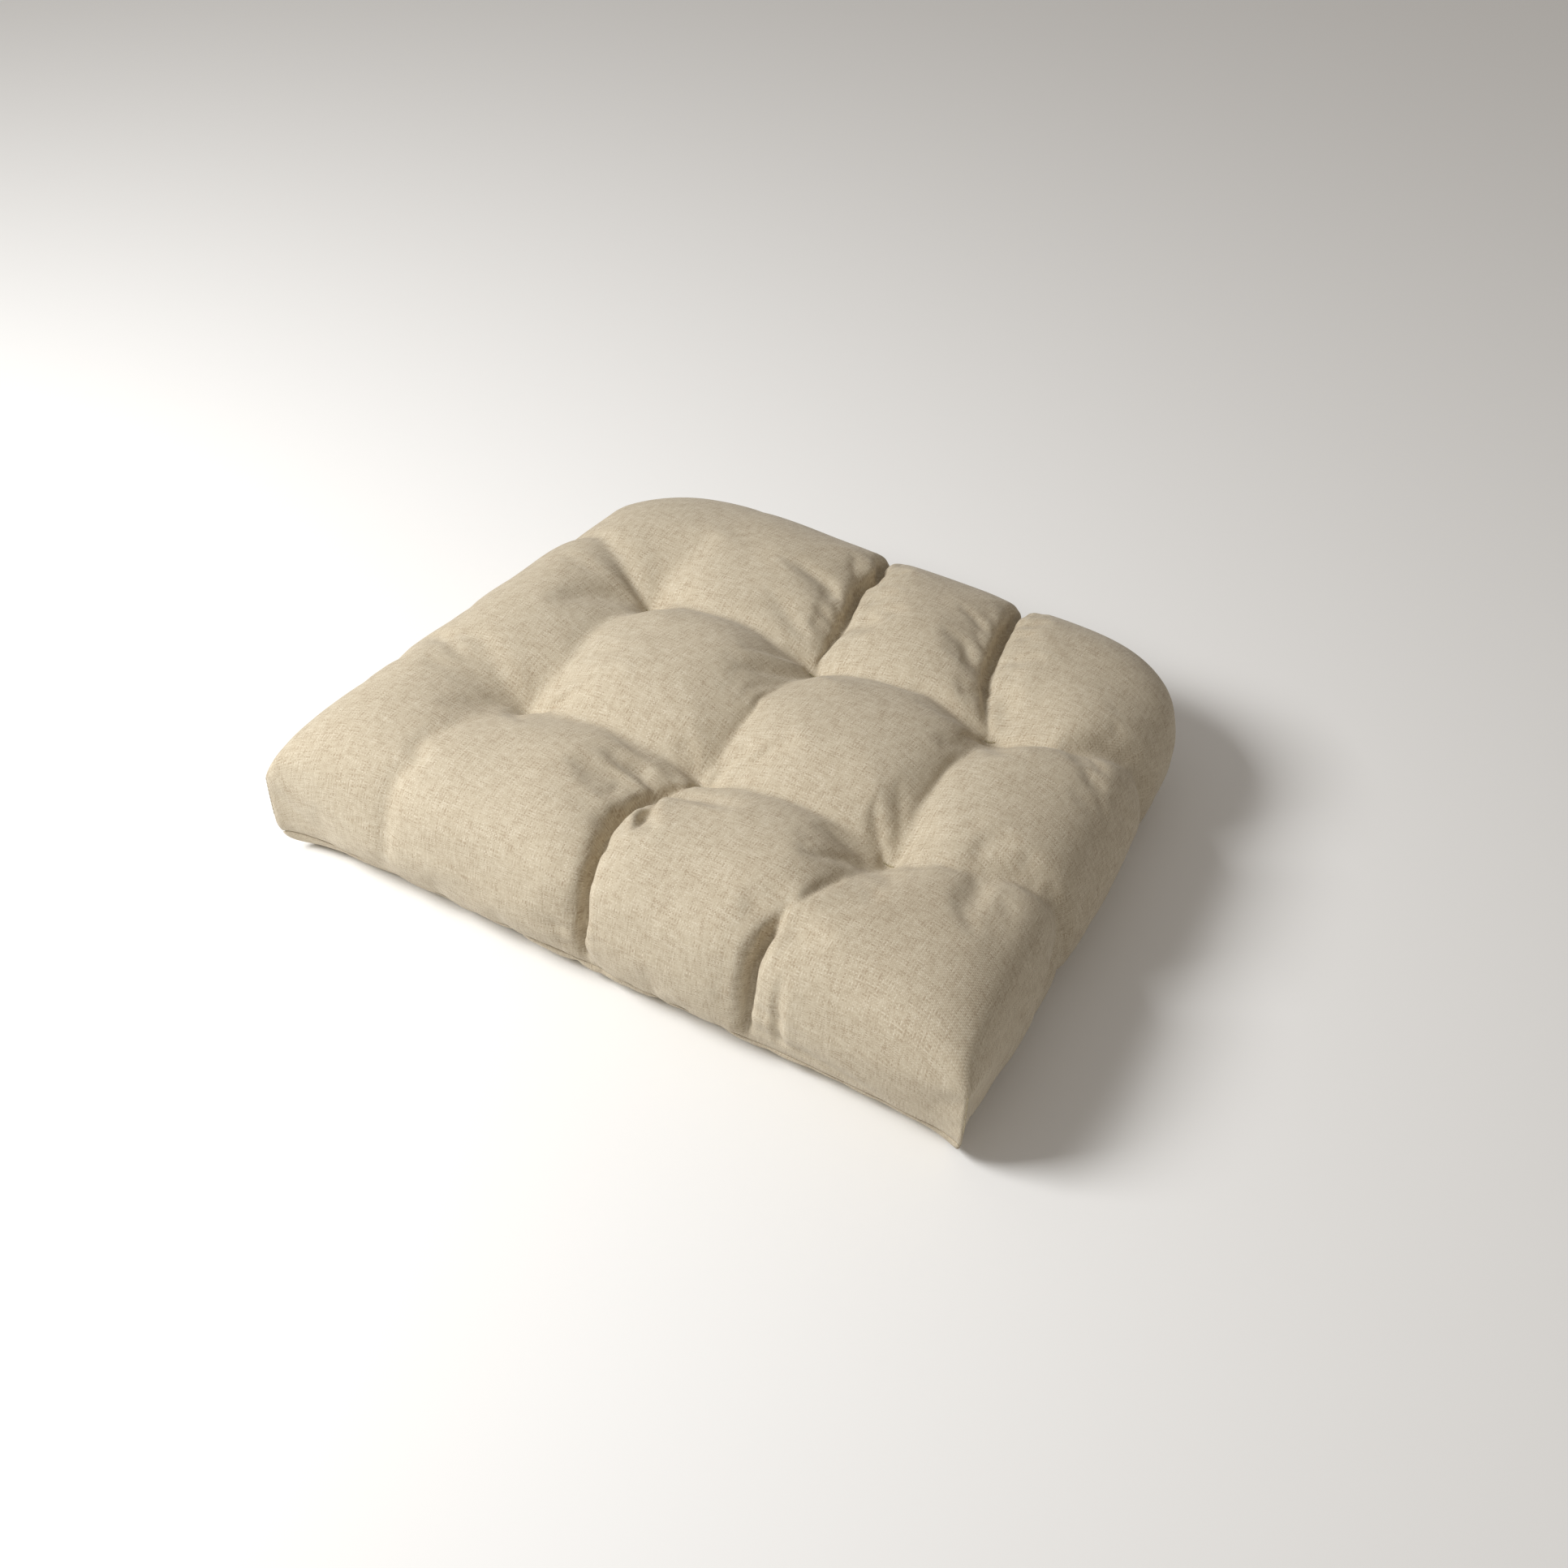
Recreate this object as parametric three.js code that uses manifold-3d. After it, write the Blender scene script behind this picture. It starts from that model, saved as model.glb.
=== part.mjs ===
// A tufted seat pad for a wicker armchair: a woven cover of two panels, stuffed with fibre and
// drawn down at six tufts. Millimetres, +Z up, the front edge towards -Y.
// The origin is at the middle of the underside, in the plane that the pad rests on.
import * as THREE from "three";
import { mergeVertices } from "three/addons/utils/BufferGeometryUtils.js";
import Module from "manifold-3d";

const wasm = await Module();
wasm.setup();

// Driving dimensions of the pad.
const FRONT_WIDTH = 510; // across the square front corners
const BACK_WIDTH = 446; // across the back, before its corners are rounded
const DEPTH = 430;
const CROWN = 118; // height of the fullest pillow
const BACK_CORNER = 86; // radius of the two back corners
const BACK_FALL = 0.16; // share of its height that the top loses from the back tufts to the back
const FRONT_CORNER = 9; // radius of the two boxed front corners
const WIDEST = 60; // height at which the sides stand out furthest
const EDGE_ROLL = 78; // how far in from the edge the top reaches its crown

// The tufts: three columns and two rows, set a little forward of the middle.
const TUFT_COLUMNS = [-133, 0, 133];
const TUFT_ROWS = [-86, 52];
const TUFT_FLOOR = 76; // height of the cover where a tuft holds it down
const TUFT_SPREAD = 30; // how wide the hollow round a tuft is
const TUFT_SEAT = 6; // radius of the flat spot under the twine
const VALLEY_DEPTH = 17; // of the valleys that run from tuft to tuft
const VALLEY_SPREAD = 21;

// The cover, its seam and its threads.
const CLOTH = 1.5; // cover cloth with its lining
const GAP = 0.3; // kept between pieces that touch
const FILL_GAP = 1; // between the cloth and the stuffing
const SEAM_HEIGHT = 16; // the perimeter seam, low on the side
const SEAM_ALLOWANCE = 9; // turned in behind the seam
const THREAD = 0.8;
const THREAD_INSET = 0.9; // how deep in the seam the stitching lies
const CLOSING_WIDTH = 200; // the filling opening, in the middle of the back
const DART_LOW = SEAM_HEIGHT + 12;
const DART_HIGH = 66; // top of the seam that boxes each front corner

// The tuft ties and their washers under the pad.
const TWINE_RADIUS = 0.7;
const TWINE_HOLE = 1.15;
const LEG_SPACING = 7;
const TWINE_SIDES = 8;
const WASHER_RADIUS = 9;
const WASHER_THICK = 1.6;
const RECESS_DEPTH = 13; // the hollow under each tuft, whose cloth stays below the seam
const RECESS_MOUTH = 27;
const RECESS_TOP = WASHER_RADIUS + 1;
const KNOT_RADIUS = 3.4;
const KNOT_LENGTH = 1.9; // along the bar, against its radius
const KNOT_FLATNESS = 0.8;
const TAIL_LENGTH = 8;
const FAR = 400; // larger than the pad, for the boxes that trim it

// ---- solids ----

function solidOf(geometry) {
  const bare = geometry.index ? geometry.toNonIndexed() : geometry.clone();
  bare.deleteAttribute("normal");
  bare.deleteAttribute("uv");
  const merged = mergeVertices(bare, 1e-4);
  const vertProperties = merged.attributes.position.array;
  const triVerts = new Uint32Array(merged.index.array);
  return new wasm.Manifold(new wasm.Mesh({ numProp: 3, vertProperties, triVerts }));
}

function geometryOf(solid) {
  const mesh = solid.getMesh();
  const positions = new Float32Array(mesh.numVert * 3);
  for (let i = 0; i < mesh.numVert; i++) {
    const from = i * mesh.numProp;
    positions.set(mesh.vertProperties.subarray(from, from + 3), i * 3);
  }
  const geometry = new THREE.BufferGeometry();
  geometry.setAttribute("position", new THREE.BufferAttribute(positions, 3));
  geometry.setIndex(new THREE.BufferAttribute(mesh.triVerts, 1));
  const flat = geometry.toNonIndexed();
  flat.computeVertexNormals();
  return flat;
}

// A box from its lowest to its highest corner.
function boxSolid(low, high) {
  const size = high.map((value, axis) => value - low[axis]);
  const centre = high.map((value, axis) => (value + low[axis]) / 2);
  return solidOf(new THREE.BoxGeometry(...size).translate(...centre));
}

function slab(low, high) {
  return boxSolid([-FAR, -FAR, low], [FAR, FAR, high]);
}

// An upright cylinder whose foot is at (x, y, low).
function post(radius, low, high, x, y, sides = 16) {
  const geometry = new THREE.CylinderGeometry(radius, radius, high - low, sides);
  return solidOf(geometry.rotateX(Math.PI / 2).translate(x, y, (low + high) / 2));
}

// ---- the pad's outer form, which every soft piece is cut from ----

// Half the width of the outline at y. The sides close in towards the back, where they run
// into a round corner; each front corner has a small radius.
function halfWidth(y, inset) {
  const front = -DEPTH / 2 + inset;
  const back = DEPTH / 2 - inset;
  const along = (y + DEPTH / 2) / DEPTH;
  const side = THREE.MathUtils.lerp(FRONT_WIDTH, BACK_WIDTH, along ** 1.6) / 2 - inset;
  const cornerLoss = (radius, distance) => {
    const reach = Math.max(radius - distance, 0);
    return radius - Math.sqrt(Math.max(radius * radius - reach * reach, 0));
  };
  return side - cornerLoss(BACK_CORNER - inset, back - y) - cornerLoss(FRONT_CORNER, y - front);
}

// 0 at the edge, 1 where the top is level, EDGE_ROLL in.
function roll(distance) {
  const share = THREE.MathUtils.clamp(distance / EDGE_ROLL, 0, 1);
  return (1 - (1 - share) ** 2.5) ** (1 / 2.5);
}

// The pillowed height of the top, away from the edges.
function pillowHeight(x, y) {
  const bell = (distance, spread) => Math.exp(-((distance / spread) ** 2));
  const columns = TUFT_COLUMNS.map((column) => bell(x - column, VALLEY_SPREAD));
  const rows = TUFT_ROWS.map((row) => bell(y - row, VALLEY_SPREAD));
  const valley = VALLEY_DEPTH * Math.max(...columns, ...rows);
  const distances = TUFT_COLUMNS.flatMap((column) =>
    TUFT_ROWS.map((row) => Math.hypot(x - column, y - row)),
  );
  const tuft = (CROWN - TUFT_FLOOR) * bell(Math.min(...distances), TUFT_SPREAD);
  return CROWN - Math.max(valley, tuft);
}

function topHeight(x, y, inset) {
  const fromSide = halfWidth(y, inset) - Math.abs(x);
  const fromFront = y + DEPTH / 2 - inset;
  const fromBack = DEPTH / 2 - inset - y;
  const rise = roll(fromSide) * roll(fromFront) * roll(fromBack);
  const backRow = TUFT_ROWS[1];
  const towardsBack = Math.max(y - backRow, 0) / (DEPTH / 2 - backRow);
  const fall = 1 - BACK_FALL * towardsBack ** 1.2;
  return fall * (WIDEST + (pillowHeight(x, y) - inset - WIDEST) * rise);
}

// How much the outline shrinks across and front to back when its edge moves in by inset.
function planShrink(inset) {
  return [1 - (2 * inset) / FRONT_WIDTH, 1 - (2 * inset) / DEPTH];
}

// The lines of the grid on one side of the tufts, closer together towards the edge.
function towardsEdge(from, to) {
  const shares = [0.26, 0.5, 0.72, 0.88, 0.97, 1];
  return shares.map((share) => from + (to - from) * share);
}

function between(from, to, count) {
  return Array.from({ length: count }, (_, i) => from + ((to - from) * (i + 1)) / count);
}

// How far the side wall stands in at a height below the widest one.
const WALL = [
  [40, 0.6],
  [24, 3],
  [SEAM_HEIGHT, 5.5],
  [7, 11],
  [0, 24],
];

// The pad's body, made smaller all over by inset: a grid of points over the top whose border
// runs down the side wall to a flat base.
function padBody(inset) {
  const [frontRow, backRow] = TUFT_ROWS;
  const column = TUFT_COLUMNS[2];
  const front = -DEPTH / 2 + inset;
  const back = DEPTH / 2 - inset;
  const frontLines = towardsEdge(frontRow, front).reverse();
  const ys = [...frontLines, frontRow, ...between(frontRow, backRow, 5), ...towardsEdge(backRow, back)];
  const rows = ys.map((y) => {
    const right = [...between(0, column, 5), ...towardsEdge(column, halfWidth(y, inset))];
    const xs = [...right.map((x) => -x).reverse(), 0, ...right];
    return xs.map((x) => new THREE.Vector3(x, y, topHeight(x, y, inset)));
  });
  const wide = rows[0].length;
  const deep = rows.length;
  const points = rows.flat();
  const index = (row, place) => row * wide + place;
  const faces = [];
  const quad = (a, b, c, d) => faces.push(a, b, c, a, c, d);
  for (let row = 0; row + 1 < deep; row++)
    for (let place = 0; place + 1 < wide; place++)
      quad(
        index(row, place),
        index(row, place + 1),
        index(row + 1, place + 1),
        index(row + 1, place),
      );

  // The border of the grid, anticlockwise from the front left corner.
  const border = [];
  for (let place = 0; place + 1 < wide; place++) border.push(index(0, place));
  for (let row = 0; row + 1 < deep; row++) border.push(index(row, wide - 1));
  for (let place = wide - 1; place > 0; place--) border.push(index(deep - 1, place));
  for (let row = deep - 1; row > 0; row--) border.push(index(row, 0));

  let above = border;
  for (const [height, wallInset] of WALL) {
    const [across, deepwise] = planShrink(wallInset);
    const ring = border.map((i) => {
      const z = height + inset * (1 - height / WIDEST);
      return points.push(new THREE.Vector3(points[i].x * across, points[i].y * deepwise, z)) - 1;
    });
    ring.forEach((low, i) => {
      const next = (i + 1) % ring.length;
      quad(low, ring[next], above[next], above[i]);
    });
    above = ring;
  }
  const middle = points.push(new THREE.Vector3(0, 0, inset)) - 1;
  above.forEach((corner, i) => faces.push(middle, above[(i + 1) % above.length], corner));

  const positions = faces.flatMap((i) => points[i].toArray());
  const geometry = new THREE.BufferGeometry();
  geometry.setAttribute("position", new THREE.Float32BufferAttribute(positions, 3));
  return solidOf(geometry);
}

// The body with a flat spot at the foot of each tuft and a hollow under it.
function padForm(inset) {
  let form = padBody(inset);
  for (const [x, y] of tuftPlaces()) {
    form = form.subtract(post(TUFT_SEAT + inset, TUFT_FLOOR - inset, CROWN + 9, x, y, 12));
    form = form.subtract(recess(x, y, inset));
  }
  return form;
}

function tuftPlaces() {
  return TUFT_ROWS.flatMap((y) => TUFT_COLUMNS.map((x) => [x, y]));
}

// The hollow in the underside at a tuft, a blunt cone.
function recess(x, y, inset) {
  const top = RECESS_DEPTH + inset;
  const profile = [
    [0, -9],
    [RECESS_MOUTH + inset + 4, -9],
    [RECESS_MOUTH + inset, 0],
    [RECESS_TOP + inset + 5, RECESS_DEPTH * 0.62 + inset],
    [RECESS_TOP + inset, top],
    [0, top],
  ].map(([radius, height]) => new THREE.Vector2(radius, height));
  return solidOf(new THREE.LatheGeometry(profile, 16).rotateX(Math.PI / 2).translate(x, y, 0));
}

// The space between two heights that lies outside the pad's outline or within reach of it.
function seamZone(low, high, reach) {
  return slab(low, high).subtract(padBody(0).scale([...planShrink(reach), 1]));
}

// Holes for the two legs of every tie.
function drill(solid) {
  let drilled = solid;
  for (const [x, y] of tuftPlaces())
    for (const side of [-1, 1]) {
      const across = x + (side * LEG_SPACING) / 2;
      drilled = drilled.subtract(post(TWINE_HOLE, -5, CROWN, across, y, TWINE_SIDES));
    }
  return drilled;
}

// ---- the pieces ----

const SEAM_CLEARANCE = THREAD / 2 + GAP;

// The cover from one height to another. Its cloth is turned in between the flange's heights,
// which is the seam allowance.
function coverPanel(low, high, flangeLow, flangeHigh) {
  const allowance = seamZone(flangeLow, flangeHigh, CLOTH + SEAM_ALLOWANCE);
  const hollow = padForm(CLOTH).subtract(allowance);
  return drill(padForm(0).intersect(slab(low, high)).subtract(hollow));
}

function topCover() {
  const low = SEAM_HEIGHT + SEAM_CLEARANCE;
  let cover = coverPanel(low, FAR, 0, low + CLOTH);
  for (const side of [-1, 1]) cover = cover.subtract(dart(side, GAP));
  return cover;
}

function bottomCover() {
  const high = SEAM_HEIGHT - SEAM_CLEARANCE;
  return coverPanel(-FAR, high, high - CLOTH, FAR);
}

// The stuffing fills the cover up to its seam allowances.
function fibreFill() {
  const reach = SEAM_CLEARANCE + CLOTH + FILL_GAP;
  const low = SEAM_HEIGHT - reach;
  const high = SEAM_HEIGHT + reach;
  const allowances = seamZone(low, high, CLOTH + SEAM_ALLOWANCE + FILL_GAP);
  return drill(padForm(CLOTH + FILL_GAP).subtract(allowances));
}

// The thread that lies in the perimeter seam, all round.
function seamRing() {
  const ring = padBody(THREAD_INSET).subtract(padBody(THREAD_INSET + THREAD));
  return ring.intersect(slab(SEAM_HEIGHT - THREAD / 2, SEAM_HEIGHT + THREAD / 2));
}

function closingZone(extra) {
  const half = CLOSING_WIDTH / 2 + extra;
  return boxSolid([-half, DEPTH / 4, 0], [half, DEPTH, 2 * SEAM_HEIGHT]);
}

// The upright thread that closes the dart of a front corner.
function dart(side, extra) {
  const corner = FRONT_CORNER * 0.3;
  const reach = THREAD / 2 + extra;
  const x = side * (FRONT_WIDTH / 2 - corner - 1.2);
  const y = -DEPTH / 2 + corner + 1.2;
  const high = DART_HIGH + extra;
  const strip = boxSolid([-reach - FAR * (extra > 0), -reach, DART_LOW - extra], [reach, reach, high]);
  return strip.rotate([0, 0, side < 0 ? 45 : 135]).translate([x, y, 0]);
}

// A straight length of twine between two points.
function twine(from, to) {
  const start = new THREE.Vector3(...from);
  const end = new THREE.Vector3(...to);
  const along = end.clone().sub(start);
  const turn = new THREE.Quaternion().setFromUnitVectors(
    new THREE.Vector3(0, 1, 0),
    along.clone().normalize(),
  );
  const rod = new THREE.CapsuleGeometry(TWINE_RADIUS, along.length(), 2, TWINE_SIDES, 1);
  const middle = start.add(end).multiplyScalar(0.5);
  return solidOf(rod.applyQuaternion(turn).translate(...middle));
}

// One tie: a bar over the cover, two legs down through the pad, and a knot under the washer.
function tuftTie() {
  const half = LEG_SPACING / 2;
  const bar = TUFT_FLOOR + GAP + TWINE_RADIUS;
  const foot = RECESS_DEPTH - WASHER_THICK - 2 * GAP - KNOT_RADIUS * KNOT_FLATNESS;
  const knot = new THREE.SphereGeometry(KNOT_RADIUS, 10, 6).scale(KNOT_LENGTH, 1, KNOT_FLATNESS);
  let tie = solidOf(knot.translate(0, 0, foot)).add(twine([-half, 0, bar], [half, 0, bar]));
  for (const side of [-1, 1]) {
    const leg = twine([side * half, 0, foot], [side * half, 0, bar]);
    const tail = twine([side * half, 0, foot], [side * (half + TAIL_LENGTH), side * 3, foot - 4]);
    tie = tie.add(leg).add(tail);
  }
  return tie;
}

// A stitch-through washer that spreads the pull of a knot over the cover.
function tuftWasher() {
  const top = RECESS_DEPTH - GAP;
  let washer = post(WASHER_RADIUS, top - WASHER_THICK, top, 0, 0);
  for (const side of [-1, 1])
    washer = washer.subtract(post(TWINE_HOLE, 0, CROWN, (side * LEG_SPACING) / 2, 0, TWINE_SIDES));
  return washer;
}

// ---- materials and assembly ----

const coverCloth = new THREE.MeshStandardMaterial({ color: 0xc9bd9f, roughness: 0.92, metalness: 0 });
const whiteFibre = new THREE.MeshStandardMaterial({ color: 0xf2f1ec, roughness: 1, metalness: 0 });
const sewingThread = new THREE.MeshStandardMaterial({ color: 0xb9ab88, roughness: 0.6, metalness: 0 });
const tuftTwine = new THREE.MeshStandardMaterial({ color: 0xbfb28f, roughness: 0.65, metalness: 0 });
const washerPlastic = new THREE.MeshStandardMaterial({ color: 0xd9d3c0, roughness: 0.45, metalness: 0 });

const pad = new THREE.Group();

function place(name, solid, material, x = 0, y = 0) {
  const mesh = new THREE.Mesh(geometryOf(solid), material);
  mesh.name = name;
  mesh.position.set(x, y, 0);
  pad.add(mesh);
}

place("top_cover", topCover(), coverCloth);
place("bottom_cover", bottomCover(), coverCloth);
place("fibre_fill", fibreFill(), whiteFibre);
place("seam_stitching", seamRing().subtract(closingZone(GAP)), sewingThread);
place("closing_stitching", seamRing().intersect(closingZone(0)), sewingThread);
place("left_dart_stitching", dart(-1, 0), sewingThread);
place("right_dart_stitching", dart(1, 0), sewingThread);
tuftPlaces().forEach(([x, y], i) => {
  place(`tuft_tie_${i + 1}`, tuftTie(), tuftTwine, x, y);
  place(`tuft_washer_${i + 1}`, tuftWasher(), washerPlastic, x, y);
});

export default pad;
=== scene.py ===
# A tufted seat pad for a wicker armchair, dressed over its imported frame: a woven cover that is
# inflated by cloth simulation, its stuffing, seams, tuft ties and washers, and a plain stage.
import math

import bmesh
import bpy
import numpy as np
from bpy.props import FloatProperty, FloatVectorProperty, IntProperty, PointerProperty
from mathutils import Matrix, Vector, noise


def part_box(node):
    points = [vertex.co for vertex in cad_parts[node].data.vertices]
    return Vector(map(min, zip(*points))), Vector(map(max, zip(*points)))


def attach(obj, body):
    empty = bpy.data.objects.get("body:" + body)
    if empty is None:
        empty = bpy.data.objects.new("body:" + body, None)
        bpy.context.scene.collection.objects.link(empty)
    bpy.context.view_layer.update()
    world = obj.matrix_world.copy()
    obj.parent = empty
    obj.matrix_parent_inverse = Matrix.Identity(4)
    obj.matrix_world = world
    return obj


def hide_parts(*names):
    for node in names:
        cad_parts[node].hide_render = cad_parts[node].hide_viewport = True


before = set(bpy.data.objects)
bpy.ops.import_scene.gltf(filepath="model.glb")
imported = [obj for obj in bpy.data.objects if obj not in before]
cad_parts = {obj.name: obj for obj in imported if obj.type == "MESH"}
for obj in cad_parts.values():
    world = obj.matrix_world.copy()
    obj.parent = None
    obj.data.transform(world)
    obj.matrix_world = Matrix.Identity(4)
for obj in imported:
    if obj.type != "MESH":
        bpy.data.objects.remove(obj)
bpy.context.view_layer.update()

bl_info = {
    "name": "Tufted Seat Pad",
    "version": (1, 0, 0),
    "blender": (4, 5, 0),
    "location": "View3D > Sidebar > Seat Pad",
    "description": "Sews, stuffs, tufts and stages a seat pad for an armchair",
    "category": "Add Mesh",
}

MM = 0.001


# ---- sizes taken from the frame ----

def middle(node):
    """The middle of a CAD node's box."""
    low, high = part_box(node)
    return (low + high) / 2


def size_of(node):
    """The size of a CAD node's box."""
    low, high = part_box(node)
    return high - low


WIDTH, DEPTH, CROWN = size_of("top_cover").x, size_of("top_cover").y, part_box("top_cover")[1].z
SEAM_HEIGHT = middle("seam_stitching").z
TIES = sorted(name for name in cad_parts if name.startswith("tuft_tie"))
WASHERS = sorted(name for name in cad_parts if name.startswith("tuft_washer"))
TUFTS = [(middle(name).x, middle(name).y) for name in WASHERS]
WASHER_LOW, WASHER_HIGH = (corner.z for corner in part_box(WASHERS[0]))
WASHER_RADIUS = size_of(WASHERS[0]).x / 2
TUFT_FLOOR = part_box(TIES[0])[1].z - 2 * MM
KNOT_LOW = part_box(TIES[0])[0].z
CLOSING = size_of("closing_stitching").x
DART_LOW, DART_HIGH = (corner.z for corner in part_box("left_dart_stitching"))
COLUMNS = sorted({round(x, 4) for x, _ in TUFTS})
ROWS = sorted({round(y, 4) for _, y in TUFTS})

# The plan, as the frame has it: the sides close in towards the back.
BACK_WIDTH = 446 * MM
BACK_CORNER = 86 * MM
BACK_FALL = 0.16
FRONT_CORNER = 4 * MM
LEG_SPACING = 7 * MM
WIDEST = 58 * MM
EDGE_ROLL = 78 * MM

# How far the side wall stands in at a height, in mm.
WALL_HEIGHTS = [0, 1, 3.4, 7.2, 11.5, 16, 24, 40, 58]
WALL_INSETS = [24, 20.5, 16, 11.5, 8, 5.5, 3, 0.6, 0]

# The valleys that run out from the tufts over the edges. A valley's points hold x, y, how deep it is
# there and how far its slopes reach, in mm: a short reach makes a sharp crease.
EDGE_VALLEYS = {
    "front_left": [(-133, -86, 12, 26), (-146, -116, 6, 26), (-154, -150, 4, 20), (-156, -240, 6, 9)],
    "front_middle": [(0, -86, 18, 20), (-7, -104, 17, 14), (-14, -120, 17, 10), (-18, -145, 16, 8),
                     (-18, -166, 16, 8), (-14, -190, 16, 8), (-10, -212, 16, 7), (-5, -240, 12, 7)],
    "front_middle_tuck": [(-7, -110, 0, 7), (-9, -132, 8.8, 6), (-3, -150, 8.8, 6), (3, -168, 0, 6)],
    "front_right": [(133, -86, 16, 22), (127, -118, 14, 17), (120, -146, 8, 13), (115, -172, 0, 11)],
    "front_right_lower": [(110, -176, 3, 8), (107, -194, 15, 7), (105, -212, 17, 7), (109, -240, 9, 7)],
    "front_right_tuck": [(126, -205, 0, 6), (128, -214, 9, 5), (132, -240, 9, 5)],
    "back_left": [(-133, 52, 14, 24), (-129, 90, 4, 22), (-126, 140, 1, 20), (-124, 240, 1, 10)],
    "back_middle": [(0, 52, 16, 20), (-3, 92, 17, 11), (-11, 124, 18, 8), (-17, 150, 18, 7),
                    (-12, 168, 17, 6), (-21, 186, 11, 5), (-22, 205, 6, 5), (-22, 240, 5, 5)],
    "back_right": [(133, 52, 16, 20), (114, 81, 17, 12), (104, 105, 18, 9), (97, 135, 18, 8),
                   (90, 172, 15, 6), (87, 195, 10, 6), (84, 240, 7, 6)],
    "left_back": [(-133, 52, 15, 20), (-152, 60, 14, 13), (-172, 70, 9, 12), (-196, 84, 2, 12),
                  (-260, 100, 0, 16)],
    "left_front": [(-133, -86, 15, 22), (-160, -80, 10, 20), (-182, -66, 4, 16), (-206, -50, 0, 16),
                   (-260, -40, 0, 12)],
    "right_back": [(133, 52, 15, 22), (165, 48, 13, 17), (192, 53, 14, 10), (212, 72, 16, 8),
                   (260, 96, 10, 7)],
    "right_front": [(133, -86, 14, 22), (170, -88, 9, 18), (200, -76, 13, 10), (222, -66, 14, 8),
                    (270, -58, 8, 7)],
}

# How a valley shapes the cloth. Slopes that reach less far than SOFT_REACH begin to sharpen it, and at
# SHARP_REACH it is as sharp as can be. From CREASE_REACH down it holds the points on its line.
FULL_DEPTH = 12 * MM
SOFT_REACH = 16 * MM
CREASE_REACH = 11.5 * MM
SHARP_REACH = 9 * MM
HOLD_BAND = 6 * MM
CREASE_LINE = 1.5 * MM
NIP_REACH = 3 * MM
NIP_DEPTH = 6 * MM
CREST_PLACE = 9 * MM
CREST_REACH = 4 * MM
NIP_ENDS = 165 * MM

# How a tuft draws in the top, and its washer the underside.
TUFT_HOLLOW = 22 * MM
TUFT_SPREAD = 24 * MM
TUFT_PINCH = 4.6 * MM
WASHER_CLEARANCE = 0.3 * MM
WASHER_DIMPLE = 20 * MM

# The boxed front corners: how much higher they stand, how much their foot is filled out, how far each
# reaches, and how far from their darts the stuffing pushes less hard.
CORNER_RISE = 10 * MM
CORNER_RISE_REACH = 60 * MM
CORNER_FILL = 5.5 * MM
CORNER_WALL_REACH = 50 * MM
CORNER_CALM = 35 * MM

# The seam's groove, half of the gap between its two plies, and how far in from it the thread lies.
SEAM_GROOVE = 2 * MM
HALF_SEAM_GAP = 0.3 * MM
THREAD_INSET = 1.3 * MM

# How far the stuffing stays inside the cover.
FIBRE_GAP = 2.4 * MM
FIBRE_LUMPS = 0.9 * MM
FIBRE_SEAM_GAP = 3 * MM
FIBRE_FLOOR = 1.5 * MM
FIBRE_CORNER_SHARE = 0.04
FIBRE_CORNER_REACH = 30 * MM

# A tie's knot under its washer.
LEG_END = 10.6 * MM
KNOT_HIGH = 9.2 * MM
KNOT_FALL = 2.6 * MM
KNOT_WAIST = 1.5 * MM
KNOT_TURNS = 1.5
TAIL_START = 6.4 * MM
TAIL_SPREAD = 1.6 * MM
BAR_LIFT = 0.4 * MM

# The washers' rims and holes.
RIM = 0.35 * MM
HOLE_RADIUS = 1 * MM

# The stage.
FLOOR_HALF = 6.0
KEY_PLACE = (-0.95, -0.85, 1.25)
KEY_SIZE = 0.7


def linear(code):
    """A colour written as sRGB hex, turned to linear red, green, blue and alpha."""
    shares = [int(code[i:i + 2], 16) / 255 for i in (1, 3, 5)]
    turned = [s / 12.92 if s <= 0.04045 else ((s + 0.055) / 1.055) ** 2.4 for s in shares]
    return (*turned, 1.0)


# ---- settings ----

def colour_property(name, description, code):
    """A colour that a user may change."""
    return FloatVectorProperty(
        name=name, description=description, subtype="COLOR", size=4, min=0, max=1, default=linear(code)
    )


def length_property(name, description, millimetres):
    """A length that a user may change."""
    return FloatProperty(
        name=name, description=description, unit="LENGTH", precision=5, default=millimetres * MM
    )


def angle_property(name, description, degrees):
    """An angle that a user may change."""
    return FloatProperty(
        name=name, description=description, subtype="ANGLE", default=math.radians(degrees)
    )


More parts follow.
